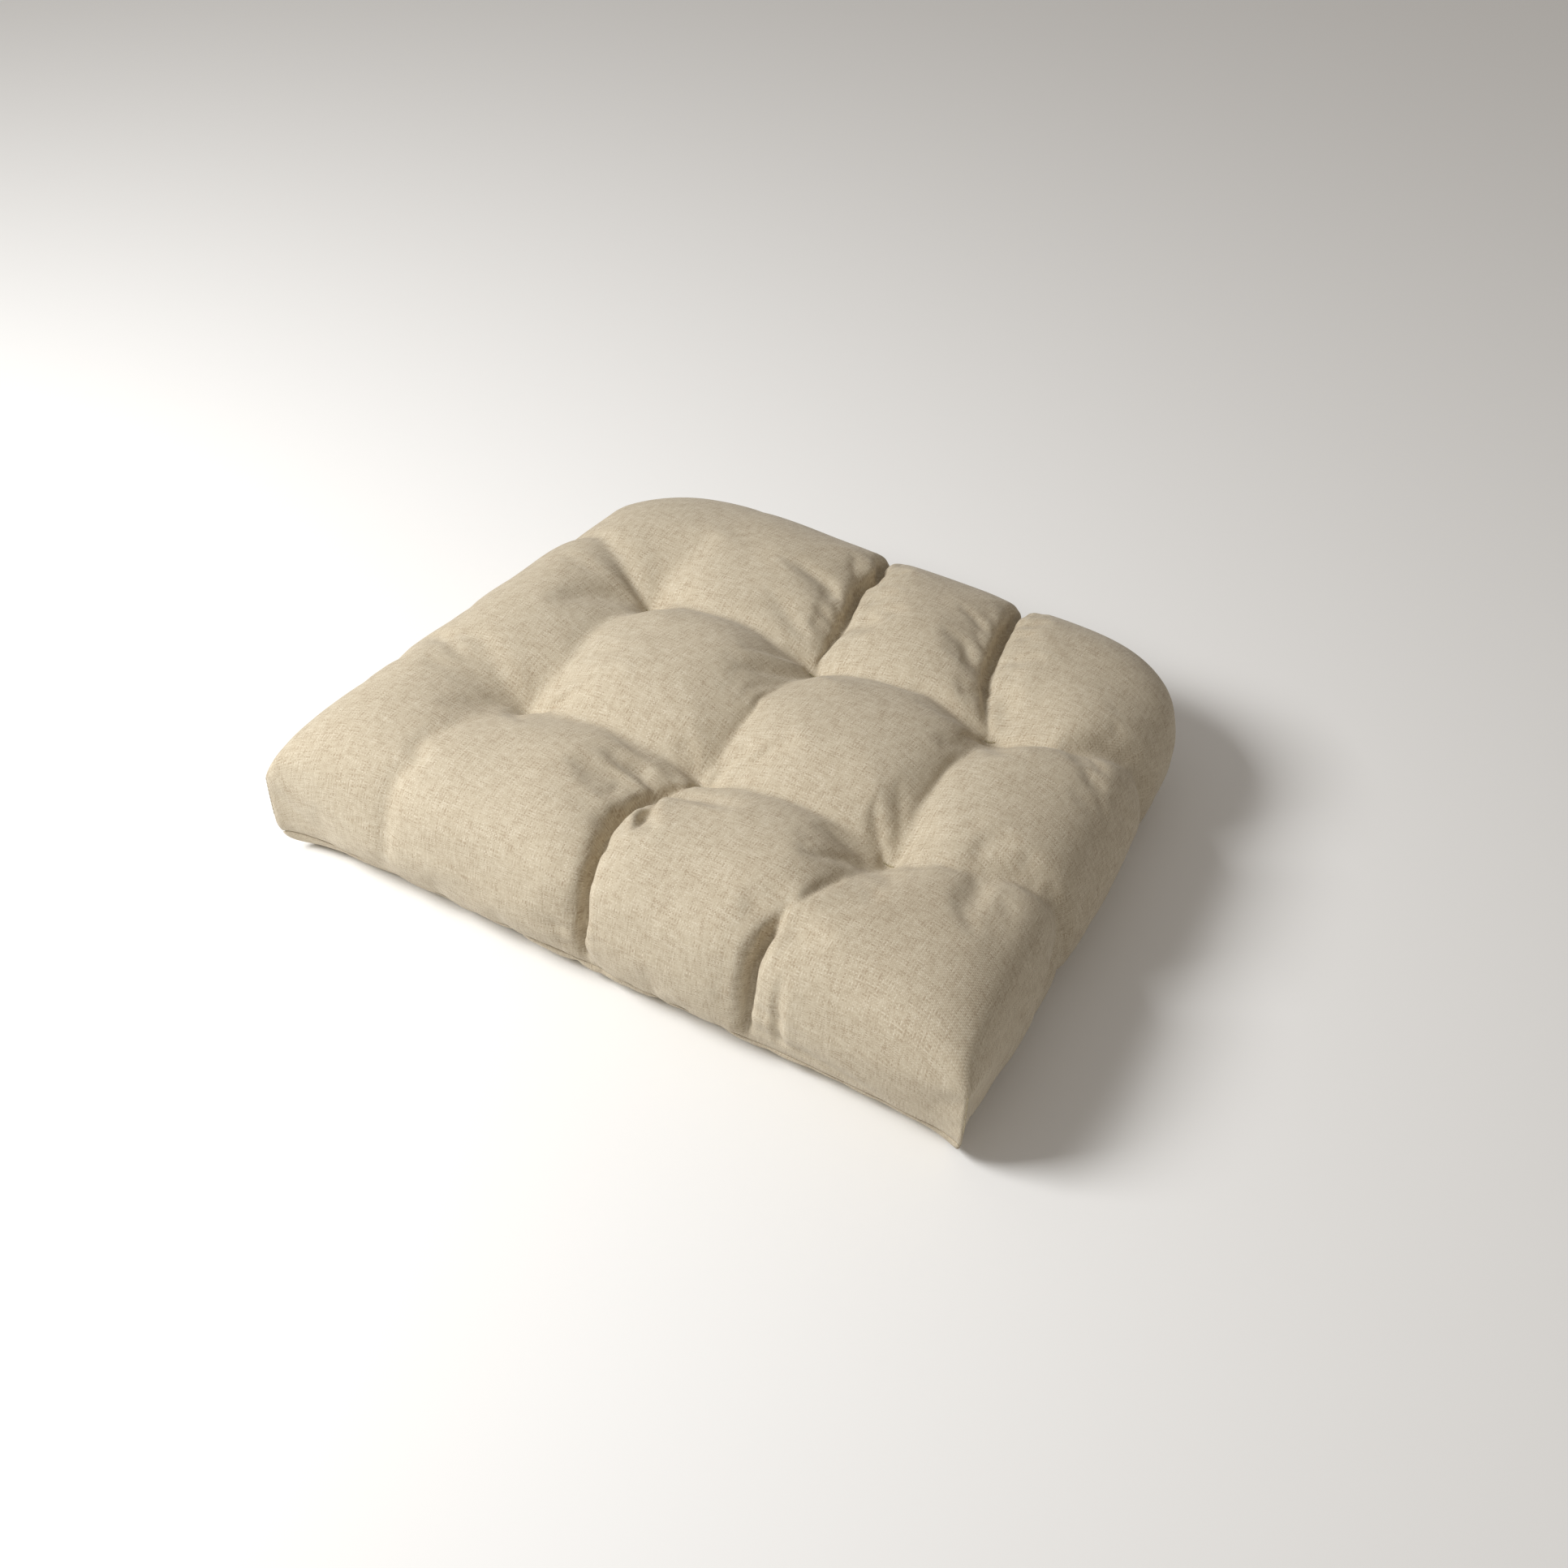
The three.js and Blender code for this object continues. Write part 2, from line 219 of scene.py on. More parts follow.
class CoverSettings(bpy.types.PropertyGroup):
    """The cover and how it is stuffed."""

    cell: length_property("Cell", "Size of the cover's mesh cells before they are smoothed", 4.8)
    start_crown: length_property("Start crown", "Height of the top before it is inflated", 106)
    inset: length_property("Inset", "How much smaller the cover starts all round", 4)
    pressure: FloatProperty(name="Pressure", description="How hard the stuffing pushes", default=8)
    ease: FloatProperty(
        name="Ease", description="Extra cloth, as a share of the form", subtype="FACTOR", default=0.025
    )
    bending: FloatProperty(name="Bending", description="Stiffness of the cloth in bending", default=0.5)
    frames: IntProperty(name="Frames", description="Steps of the cloth simulation", default=36)
    cloth: length_property("Cloth", "Thickness of the cover cloth", 0.6)
    allowance: length_property("Seam allowance", "Cloth turned in behind the seam", 9)
    gather: length_property("Gather", "Depth of the largest tuck along the seam", 4)
    seed: IntProperty(name="Seed", description="Seed for the tucks along the seam", default=7)
    light_yarn: colour_property("Light yarn", "Colour of the palest yarns", "#D2C8B3")
    main_yarn: colour_property("Main yarn", "Colour of most yarns", "#C1B59E")
    dark_yarn: colour_property("Dark yarn", "Colour of the darkest yarns", "#A99982")
    yarn: length_property("Yarn pitch", "Distance from one yarn to the next", 0.95)
    slub: length_property("Slub", "Length of the thick and thin places in a yarn", 14)


class StitchSettings(bpy.types.PropertyGroup):
    """The machine and hand stitches."""

    stitch: length_property("Stitch", "Length of one machine stitch", 3.2)
    hand_stitch: length_property("Hand stitch", "Distance between the closing stitches", 6)
    thread: length_property("Thread", "Thickness of the sewing thread", 0.5)
    colour: colour_property("Thread colour", "Colour of the sewing thread", "#B7A985")


class TieSettings(bpy.types.PropertyGroup):
    """The tuft ties and the washers under them."""

    ply: length_property("Ply", "Thickness of each of the twine's two plies", 0.55)
    twist: length_property("Twist", "Length of one turn of the two plies", 2.6)
    tail: length_property("Tail", "Length of twine left beyond a knot", 9)
    colour: colour_property("Twine colour", "Colour of the tufting twine", "#BBAE8B")
    washer_colour: colour_property("Washer colour", "Colour of the moulded washers", "#D9D3C0")
    fibre_colour: colour_property("Fibre colour", "Colour of the stuffing", "#F0EEE6")


class StageSettings(bpy.types.PropertyGroup):
    """Camera, floor and lights."""

    azimuth: angle_property("Azimuth", "Camera's turn round the pad", 29.89)
    elevation: angle_property("Elevation", "Camera's angle above the floor", 41.06)
    roll: angle_property("Roll", "Camera's tilt", 1.475)
    lens: FloatProperty(name="Lens", description="Focal length in mm", default=47.36)
    place: FloatVectorProperty(
        name="Place", description="Where the camera stands", subtype="TRANSLATION",
        default=(0.5331, -0.9123, 0.9388),
    )
    key: FloatProperty(name="Key", description="Power of the key light in watts", default=32)
    sky: FloatProperty(name="Sky", description="Strength of the white surroundings", default=0.32)
    sky_colour: colour_property("Sky colour", "Colour of the surroundings", "#FFF7EE")
    floor: colour_property("Floor", "Colour of the floor", "#F4F4F3")


def settings():
    """The pad's settings in this scene."""
    return bpy.context.scene.seat_pad


# ---- the cover's form ----

def corner_loss(radius, distance):
    """How much a rounded corner takes off the width at a distance from the edge that it ends at."""
    reach = np.maximum(radius - distance, 0)
    return radius - np.sqrt(np.maximum(radius**2 - reach**2, 0))


def half_width(y):
    """Half the width of the plan at y."""
    along = np.clip((y + DEPTH / 2) / DEPTH, 0, 1)
    side = (WIDTH + (BACK_WIDTH - WIDTH) * along**1.6) / 2
    return side - corner_loss(BACK_CORNER, DEPTH / 2 - y) - corner_loss(FRONT_CORNER, y + DEPTH / 2)


def spaced(line, shares):
    """Points at shares of the way along a line."""
    steps = np.linalg.norm(np.diff(line, axis=0), axis=1)
    travel = np.concatenate([[0], np.cumsum(steps)])
    at = shares * travel[-1]
    return np.column_stack([np.interp(at, travel, line[:, axis]) for axis in range(line.shape[1])])


def packed(count, places, closeness, reach):
    """Shares from 0 to 1 that lie closer together near some places."""
    fine = np.linspace(0, 1, 400)
    crowd = 1 + sum(closeness * np.exp(-(((fine - place) / reach) ** 2)) for place in places)
    total = np.concatenate([[0], np.cumsum((crowd[1:] + crowd[:-1]) / 2)])
    return np.interp(np.linspace(0, 1, count), total / total[-1], fine)


def plan_grid(columns, rows):
    """A grid of plan points whose border follows the outline, as a Coons patch between four sides.
    Its corners are the two front corners and the middles of the two back corners. Its columns lie
    closer together where the sharp creases run."""
    turn = np.linspace(0, np.pi / 2, 40)
    ys = np.concatenate([
        -DEPTH / 2 + FRONT_CORNER * (1 - np.cos(turn)),
        np.linspace(-DEPTH / 2 + FRONT_CORNER, DEPTH / 2 - BACK_CORNER, 200)[1:-1],
        DEPTH / 2 - BACK_CORNER * (1 - np.sin(turn)),
    ])
    side = np.column_stack([half_width(ys), ys])
    front_end = np.argmax(side[:, 0] - side[:, 1])
    back_end = np.argmax(side[:, 0] + side[:, 1])
    across = packed(columns + 1, (0.49, 0.72), 1.3, 0.055)
    up = packed(rows + 1, (0.86,), 0.3, 0.1)
    mirror = np.array([-1, 1])
    front = spaced(np.vstack([side[front_end::-1] * mirror, side[:front_end + 1]]), across)
    back = spaced(np.vstack([side[back_end:] * mirror, side[:back_end - 1:-1]]), across)
    right = spaced(side[front_end:back_end + 1], up)
    left = right * mirror
    u, v = across[None, :, None], up[:, None, None]
    edges = (1 - v) * front[None] + v * back[None] + (1 - u) * left[:, None] + u * right[:, None]
    corners = (
        (1 - u) * (1 - v) * front[0] + u * (1 - v) * front[-1] + (1 - u) * v * back[0] + u * v * back[-1]
    )
    return edges - corners


def shrunk(plan, inset):
    """Plan points with the outline moved in by inset."""
    return plan * (1 - 2 * inset / np.array([WIDTH, DEPTH]))


def roll(distance):
    """0 at the edge and 1 where the top is level."""
    share = np.clip(distance / EDGE_ROLL, 0, 1)
    return (1 - (1 - share) ** 2.5) ** (1 / 2.5)


class CoverForm:
    """The cover's closed form before it is stuffed: a grid over the top, rings down the walls and a
    grid under it, with the flat cloth that each corner of a face is cut from."""

    def __init__(self, cell, start_crown, inset):
        self.columns = 2 * round(WIDTH / 2 / cell)
        self.rows = round(DEPTH / cell)
        plan = plan_grid(self.columns, self.rows)
        x, y = plan[..., 0], plan[..., 1]
        rise = roll(half_width(y) - abs(x)) * roll(y + DEPTH / 2) * roll(DEPTH / 2 - y)
        to_corner = np.hypot(half_width(y) - abs(x), y + DEPTH / 2)
        edge = WIDEST + CORNER_RISE * np.exp(-((to_corner / CORNER_RISE_REACH) ** 2))
        towards_back = np.maximum(y - ROWS[1], 0) / (DEPTH / 2 - ROWS[1])
        height = (edge + (start_crown - edge) * rise) * (1 - BACK_FALL * towards_back**1.2)
        top = np.dstack([shrunk(plan, inset), height]).reshape(-1, 3)

        grid = np.arange(len(top)).reshape(self.rows + 1, self.columns + 1)
        self.border = np.concatenate([grid[0, :-1], grid[:-1, -1], grid[-1, :0:-1], grid[:0:-1, 0]])
        around = len(self.border)
        border = top[self.border]
        steps = round((WIDEST - SEAM_HEIGHT) / cell)
        above_seam = np.linspace(WIDEST, SEAM_HEIGHT, steps + 1)[1:]
        below_seam = np.array([0.7, 0.42, 0.19, 0.05, 0]) * SEAM_HEIGHT
        self.heights = np.concatenate([above_seam, below_seam])
        insets = np.interp(self.heights / MM, WALL_HEIGHTS, WALL_INSETS) * MM
        points, self.rings = [top], []
        near_corner = np.exp(-((to_corner.ravel()[self.border] / CORNER_WALL_REACH) ** 2))
        for height, inset_here in zip(self.heights, insets):
            lift = (border[:, 2] - WIDEST) * max(height - SEAM_HEIGHT, 0) / (WIDEST - SEAM_HEIGHT)
            wall_inset = inset_here - 0.75 * min(inset_here, CORNER_FILL) * near_corner[:, None]
            ring = np.column_stack([shrunk(border[:, :2], wall_inset), height + lift])
            self.rings.append(len(top) + around * len(self.rings) + np.arange(around))
            points.append(ring)
        self.seam = len(above_seam) - 1

        under = np.full(len(top), -1)
        under[self.border] = self.rings[-1]
        inside = np.setdiff1d(np.arange(len(top)), self.border)
        under[inside] = len(top) + around * len(self.rings) + np.arange(len(inside))
        flat = np.column_stack([shrunk(top[:, :2], insets[-1]), np.zeros(len(top))])
        points.append(flat[inside])
        self.points = np.vstack(points)
        self.top_count = len(top)
        self.under = under
        self.is_under = np.zeros(len(self.points), bool)
        self.is_under[under] = True
        self._make_faces(grid, plan.reshape(-1, 2))

    def _make_faces(self, grid, plan):
        """Quads, with a corner's place on the flat cloth beside each, top panel first."""
        a, b, c, d = grid[:-1, :-1], grid[:-1, 1:], grid[1:, 1:], grid[1:, :-1]
        top = np.dstack([a, b, c, d]).reshape(-1, 4)
        bottom = self.under[top[:, ::-1]]
        outline = plan[self.border]
        cut_flat = self._flattened_top()
        edge_flat = cut_flat[self.border]
        ahead, behind = np.roll(outline, -1, 0), np.roll(outline, 1, 0)
        outward = self._outward(ahead - behind)
        before, after = outward.copy(), outward.copy()
        for corner in (0, self.columns):
            before[corner] = self._outward((outline - behind)[corner])
            after[corner] = self._outward((ahead - outline)[corner])
        loop = [self.border, *self.rings]
        drops = [np.zeros(len(outline))]
        for upper, lower in zip(loop, loop[1:]):
            step = np.linalg.norm(self.points[upper] - self.points[lower], axis=1)
            drops.append(drops[-1] + step)
        walls, cut = [], []
        following = np.roll(np.arange(len(outline)), -1)
        for level, (upper, lower) in enumerate(zip(loop, loop[1:])):
            walls.append(np.column_stack([lower, lower[following], upper[following], upper]))
            here, there = np.arange(len(outline)), following
            places = [(here, after, level + 1), (there, before, level + 1), (there, before, level),
                      (here, after, level)]
            cut.append(np.stack([
                edge_flat[at] + way[at] * drops[depth][at][:, None] for at, way, depth in places
            ], axis=1))
        seam = self.seam + 1
        self.top_faces = np.vstack([top, *walls[:seam]])
        self.top_cut = np.vstack([cut_flat[top], *cut[:seam]])
        aside = np.array([2 * WIDTH, 0])
        self.bottom_faces = np.vstack([*walls[seam:], bottom])
        self.bottom_cut = np.vstack([*cut[seam:], plan[top[:, ::-1]]]) + aside
        self.faces = np.vstack([self.top_faces, self.bottom_faces])

    def _flattened_top(self):
        """Where the top's points lie on the flat cloth: as far from its middle as the surface is long."""
        top = self.points[:self.top_count].reshape(self.rows + 1, self.columns + 1, 3)
        places = []
        for axis, middle_line in ((1, self.columns // 2), (0, self.rows // 2)):
            steps = np.linalg.norm(np.diff(top, axis=axis), axis=2)
            travel = np.cumsum(np.insert(steps, 0, 0, axis=axis), axis=axis)
            places.append(travel - np.take(travel, [middle_line], axis=axis))
        return np.dstack(places).reshape(-1, 2)

    def darts(self):
        """The points on the two front corners, from the top down."""
        ends = [0, self.columns]
        return np.stack([self.border[ends], *(ring[ends] for ring in self.rings)]).ravel()

    @staticmethod
    def _outward(along):
        """The outward directions beside steps along an outline that runs anticlockwise."""
        along = np.atleast_2d(along)
        across = np.column_stack([along[:, 1], -along[:, 0]])
        return across / np.linalg.norm(across, axis=1)[:, None]

    def normals(self, points):
        """Unit normals at the form's points."""
        quads = points[self.faces]
        sides = np.cross(quads[:, 2] - quads[:, 0], quads[:, 3] - quads[:, 1])
        total = np.zeros_like(points)
        for corner in range(4):
            np.add.at(total, self.faces[:, corner], sides)
        return total / np.linalg.norm(total, axis=1)[:, None]


def rounded_path(points, rounds=3):
    """A path with its corners cut, which leaves its two ends in place."""
    path = np.array(points, float)
    for _ in range(rounds if len(path) > 2 else 0):
        near = 0.75 * path[:-1] + 0.25 * path[1:]
        far = 0.25 * path[:-1] + 0.75 * path[1:]
        path = np.vstack([path[:1], np.stack([near, far], axis=1).reshape(-1, path.shape[1]), path[-1:]])
    return path


def valley_paths():
    """Every valley: those between neighbouring tufts, and those out over the edges."""
    paths = []
    for row in ROWS:
        for left, right in zip(COLUMNS, COLUMNS[1:]):
            paths.append([(left / MM, row / MM, 16, 22), (right / MM, row / MM, 17, 22)])
    for column in COLUMNS:
        paths.append([(column / MM, ROWS[0] / MM, 15, 23), (column / MM, ROWS[1] / MM, 15, 23)])
    return [rounded_path(path) * MM for path in [*paths, *EDGE_VALLEYS.values()]]


def valleys_at(plan):
    """How deep the valleys are at plan points, how much of the stuffing's push they take away, which
    points the sharp creases run through, and how strongly those creases nip the cloth, from 1 in the
    crease to a little below 0 on the crests beside it."""
    depth, tightness, nip = np.zeros(len(plan)), np.zeros(len(plan)), np.zeros(len(plan))
    on_crease = np.zeros(len(plan), bool)
    for path in valley_paths():
        for start, end in zip(path, path[1:]):
            along = end[:2] - start[:2]
            share = np.clip((plan - start[:2]) @ along / (along @ along), 0, 1)
            away = np.linalg.norm(plan - start[:2] - share[:, None] * along, axis=1)
            deep, reach = (start[2:, None] + share * (end - start)[2:, None])
            depth = np.maximum(depth, deep * np.exp(-away / reach))
            sharp = np.clip((SOFT_REACH - reach) / (SOFT_REACH - SHARP_REACH), 0, 1)
            fullness = np.clip(deep / FULL_DEPTH, 0, 1)
            hold = (0.35 + 0.65 * sharp) * fullness
            tightness = np.maximum(tightness, hold * np.exp(-((away / HOLD_BAND) ** 2)))
            on_crease |= (away < CREASE_LINE) & (reach < CREASE_REACH) & (deep > 9 * MM)
            crest = 0.3 * np.exp(-(((away - CREST_PLACE) / CREST_REACH) ** 2))
            nip_here = sharp * fullness * (np.exp(-((away / NIP_REACH) ** 2)) - crest)
            nip = np.where(abs(nip_here) > abs(nip), nip_here, nip)
    return depth, tightness, on_crease, nip


def seam_tucks(form, largest, seed):
    """How far the small tucks along the seam draw in each point of the walls."""
    draw = np.random.default_rng(seed)
    ring = form.points[form.rings[form.seam]]
    steps = np.linalg.norm(np.roll(ring, -1, 0) - ring, axis=1)
    travel = np.cumsum(steps) - steps[0]
    perimeter = steps.sum()
    places = np.cumsum(draw.uniform(18 * MM, 50 * MM, int(perimeter / (30 * MM))))
    places = places[places < perimeter]
    depth = largest * draw.uniform(0.25, 1, len(places))
    height = draw.uniform(8 * MM, 24 * MM, len(places))
    width = draw.uniform(3 * MM, 6 * MM, len(places))
    lean = draw.uniform(-0.3, 0.3, len(places))
    drawn = np.zeros(len(form.points))
    for level, ring in zip(form.heights, form.rings):
        rise = abs(level - SEAM_HEIGHT)
        away = abs(travel[:, None] - places - lean * rise)
        away = np.minimum(away, perimeter - away)
        drawn[ring] = (depth * np.exp(-away / width - rise / height)).max(axis=1)
    return drawn


def weight_group(piece, name, weights):
    """A vertex group with a weight for every point."""
    group = piece.vertex_groups.new(name=name)
    for index, weight in enumerate(weights):
        group.add([index], float(weight), "REPLACE")
    return group


def inflated(form, start, target, held, push, ease, cover):
    """The cover's points after the stuffing has filled it out. held says how firmly a point keeps to
    its target, push how much of the pressure it feels, and ease how little spare cloth it has."""
    mesh = bpy.data.meshes.new("cover_form")
    mesh.from_pydata(start.tolist(), [], form.faces.tolist())
    pad = link("cover_form", mesh)
    pad.shape_key_add(name="start")
    drawn_in = pad.shape_key_add(name="tufts_drawn_in")
    drawn_in.data.foreach_set("co", target.ravel())
    for moment, share in ((1, 0.0), (8, 1.0)):
        drawn_in.value = share
        drawn_in.keyframe_insert("value", frame=moment)
    weight_group(pad, "held", held)
    weight_group(pad, "push", push)
    weight_group(pad, "ease", ease)
    cloth = pad.modifiers.new("stuffed", "CLOTH")
    how = cloth.settings
    how.quality = 5
    how.vertex_group_mass = "held"
    how.vertex_group_pressure = "push"
    how.vertex_group_shrink = "ease"
    how.shrink_min = -2 * cover.ease
    how.shrink_max = 0
    how.use_pressure = True
    how.uniform_pressure_force = cover.pressure
    how.effector_weights.gravity = 0
    how.tension_stiffness = 20
    how.compression_stiffness = 10
    how.shear_stiffness = 5
    how.bending_stiffness = cover.bending
    cloth.collision_settings.use_collision = False
    frames = cover.frames
    cloth.point_cache.frame_start = 1
    cloth.point_cache.frame_end = frames
    scene = bpy.context.scene
    for moment in range(1, frames + 1):
        scene.frame_set(moment)
    filled = pad.evaluated_get(bpy.context.evaluated_depsgraph_get())
    points = np.empty(len(start) * 3)
    filled.data.vertices.foreach_get("co", points)
    scene.frame_set(1)
    action = pad.data.shape_keys.animation_data.action
    bpy.data.objects.remove(pad)
    bpy.data.meshes.remove(mesh)
    bpy.data.actions.remove(action)
    return points.reshape(-1, 3)


def stuffed_cover(form, cover):
    """The cover's points once it is valleyed, tufted and inflated."""
    points = form.points
    plan = points[:, :2]
    depth, tightness, on_crease, nip = valleys_at(plan)
    to_tuft = np.min([np.hypot(plan[:, 0] - x, plan[:, 1] - y) for x, y in TUFTS], axis=0)
    outward = form.normals(points)
    steepness = 1 - np.clip(1.6 * abs(outward[:, 2]), 0, 1)
    fade = np.where(form.is_under, 0, np.clip((points[:, 2] - 12 * MM) / (45 * MM), 0, 1))
    hollow = depth * (1 - 0.42 * steepness) + TUFT_HOLLOW * np.exp(-((to_tuft / TUFT_SPREAD) ** 1.3))
    drawn = hollow * fade + seam_tucks(form, cover.gather, cover.seed)
    start = points - outward * drawn[:, None]

    dimple = np.clip(1 - (to_tuft - WASHER_RADIUS) / WASHER_DIMPLE, 0, 1) ** 1.5
    start[form.is_under, 2] = ((WASHER_HIGH + WASHER_CLEARANCE) * dimple)[form.is_under]
    target = start.copy()
    is_top = np.arange(len(points)) < form.top_count
    pinch = is_top & (to_tuft < TUFT_PINCH)
    target[pinch, 2] = TUFT_FLOOR
    darts = form.darts()
    target[darts] = points[darts]
    target[darts, :2] *= 1 + 2 * cover.inset / WIDTH

    to_corner = np.hypot(abs(plan[:, 0]) - WIDTH / 2, plan[:, 1] + DEPTH / 2)
    held = np.zeros(len(points))
    held[form.is_under | pinch] = 1
    held[on_crease & (points[:, 2] > 22 * MM)] = 1
    held[darts] = 1
    push = (1 - tightness) * np.clip(to_corner / CORNER_CALM, 0.2, 1)
    push[(points[:, 2] < SEAM_HEIGHT) & ~form.is_under] *= 0.4
    ease = np.array([0.5 + 0.3 * noise.noise(Vector(point) * 18) for point in points])
    ease[form.rings[form.seam]] = 1
    filled = inflated(form, start, target, held, push, np.clip(ease, 0, 1), cover)
    nip *= np.clip((filled[:, 2] - 20 * MM) / (15 * MM), 0, 1) * ~form.is_under
    nip *= np.clip((NIP_ENDS - abs(plan[:, 0])) / (15 * MM), 0, 1)
    return filled - form.normals(filled) * (NIP_DEPTH * nip)[:, None]


# ---- meshes and objects ----

def link(name, mesh):
    """An object at the origin that holds a mesh."""
    piece = bpy.data.objects.new(name, mesh)
    bpy.context.scene.collection.objects.link(piece)
    return piece


def smooth_piece(name, points, faces, material):
    """A smooth-shaded object of one material."""
    mesh = bpy.data.meshes.new(name)
    mesh.from_pydata(points, [], faces)
    mesh.polygons.foreach_set("use_smooth", [True] * len(faces))
    mesh.materials.append(material)
    return link(name, mesh)


def seam_edge(points, form):
    """The seam's ring, drawn in to a groove, and the way in from each of its points."""
    ring = points[form.rings[form.seam]].copy()
    ring[:, 2] = SEAM_HEIGHT
    smooth = (ring + np.roll(ring, 1, 0) + np.roll(ring, -1, 0)) / 3
    along = np.roll(smooth, -2, 0) - np.roll(smooth, 2, 0)
    inward = np.column_stack([-along[:, 1], along[:, 0], np.zeros(len(ring))])
    inward /= np.linalg.norm(inward, axis=1)[:, None]
    return ring + inward * SEAM_GROOVE, inward


def panel(name, points, faces, cut, ring, darts, edge, inward, side, cover):
    """One panel of the cover as an object: its cloth, with the seam allowance turned in behind the
    seam, cut to the flat places that its weave follows. side is 1 above the seam and -1 below it."""
    placed = points.copy()
    lift = np.array([0, 0, HALF_SEAM_GAP * side])
    placed[ring] = edge + lift
    turned = [edge + inward * reach + lift for reach in (SEAM_GROOVE, cover.allowance)]
    around = np.arange(len(ring))
    following = np.roll(around, -1)
    outer = ring
    all_faces, all_cut = [faces], [cut]
    for row in turned:
        inner = len(placed) + around
        placed = np.vstack([placed, row])
        strip = np.column_stack([outer, outer[following], inner[following], inner])
        flat = np.stack([placed[strip[:, k]][:, :2] for k in range(4)], axis=1)
        all_faces.append(strip[:, ::-side])
        all_cut.append(flat[:, ::-side])
        outer = inner
    quads, places = np.vstack(all_faces), np.vstack(all_cut)
    used, compact = np.unique(quads, return_inverse=True)
    mesh = bpy.data.meshes.new(name)
    mesh.from_pydata(placed[used].tolist(), [], compact.reshape(quads.shape).tolist())
    weave = mesh.uv_layers.new(name="weave")
    weave.data.foreach_set("uv", places.reshape(-1))
    mesh.polygons.foreach_set("use_smooth", [True] * len(quads))
    ends = np.array([edge_of.vertices for edge_of in mesh.edges])
    sharp = [share * np.isin(used, line)[ends].all(axis=1) for share, line in ((0.8, darts), (0.6, ring))]
    crease = mesh.attributes.new("crease_edge", "FLOAT", "EDGE")
    crease.data.foreach_set("value", np.maximum(*sharp))
    piece = link(name, mesh)
    wall = piece.modifiers.new("cloth", "SOLIDIFY")
    wall.thickness = cover.cloth
    wall.offset = -1
    smooth = piece.modifiers.new("smooth", "SUBSURF")
    smooth.levels = smooth.render_levels = 1
    smooth.uv_smooth = "NONE"
    return piece


def made_plain(piece):
    """The piece with its modifiers worked in."""
    result = bpy.data.meshes.new_from_object(piece.evaluated_get(bpy.context.evaluated_depsgraph_get()))
    old = piece.data
    piece.modifiers.clear()
    piece.data = result
    result.name = piece.name
    bpy.data.meshes.remove(old)
    return piece


def line_mesh(name, points):
    """A line that stitches follow, kept as a mesh of edges."""
    mesh = bpy.data.meshes.new(name)
    mesh.from_pydata(points.tolist(), [(i, i + 1) for i in range(len(points) - 1)], [])
    mesh.use_fake_user = True
    return mesh


# ---- materials ----

def add(tree, kind, settings=None, *values, **inputs):
    """A node of a kind, with its settings, and its inputs by place or by name. An input is a value, an
    output, or a node, which stands for its first output."""
    made = tree.nodes.new(kind)
    for name, value in (settings or {}).items():
        setattr(made, name, value)
    named = {name.replace("_", " "): value for name, value in inputs.items()}
    for name, value in [*enumerate(values), *named.items()]:
        if isinstance(value, bpy.types.Node):
            value = value.outputs[0]
        if isinstance(value, bpy.types.NodeSocket):
            tree.links.new(value, made.inputs[name])
        else:
            made.inputs[name].default_value = value
    return made


def empty_material(name):
    """A material with a bare shader, and its tree."""
    material = bpy.data.materials.new(name)
    material.use_nodes = True
    tree = material.node_tree
    return material, tree, tree.nodes["Principled BSDF"]


def finished(shader, **values):
    """Sets what is the same all over a surface."""
    for name, value in values.items():
        shader.inputs[name.replace("_", " ")].default_value = value


def two_tone(tree, shader, pattern, low, high, relief, depth):
    """Colours a surface from a pattern, with a tone at each of two heights, and embosses it."""
    ramp = add(tree, "ShaderNodeValToRGB", None, pattern)
    for element, (height, colour) in zip(ramp.color_ramp.elements, (low, high)):
        element.position = height
        element.color = colour
    bump = add(tree, "ShaderNodeBump", Height=pattern, Strength=relief, Distance=depth)
    tree.links.new(ramp.outputs[0], shader.inputs["Base Color"])
    tree.links.new(bump.outputs[0], shader.inputs["Normal"])


def shaded(colour, share):
    """A darker tone of a colour."""
    return [share * channel for channel in colour[:3]] + [1]


MATH, NOISE = "ShaderNodeMath", "ShaderNodeTexNoise"
ADD, SUBTRACT, MULTIPLY, DIVIDE, FLOOR, FRACT, ABSOLUTE, SINE, MODULO = (
    {"operation": name}
    for name in ("ADD", "SUBTRACT", "MULTIPLY", "DIVIDE", "FLOOR", "FRACT", "ABSOLUTE", "SINE", "MODULO")
)
FLAT = {"noise_dimensions": "2D"}


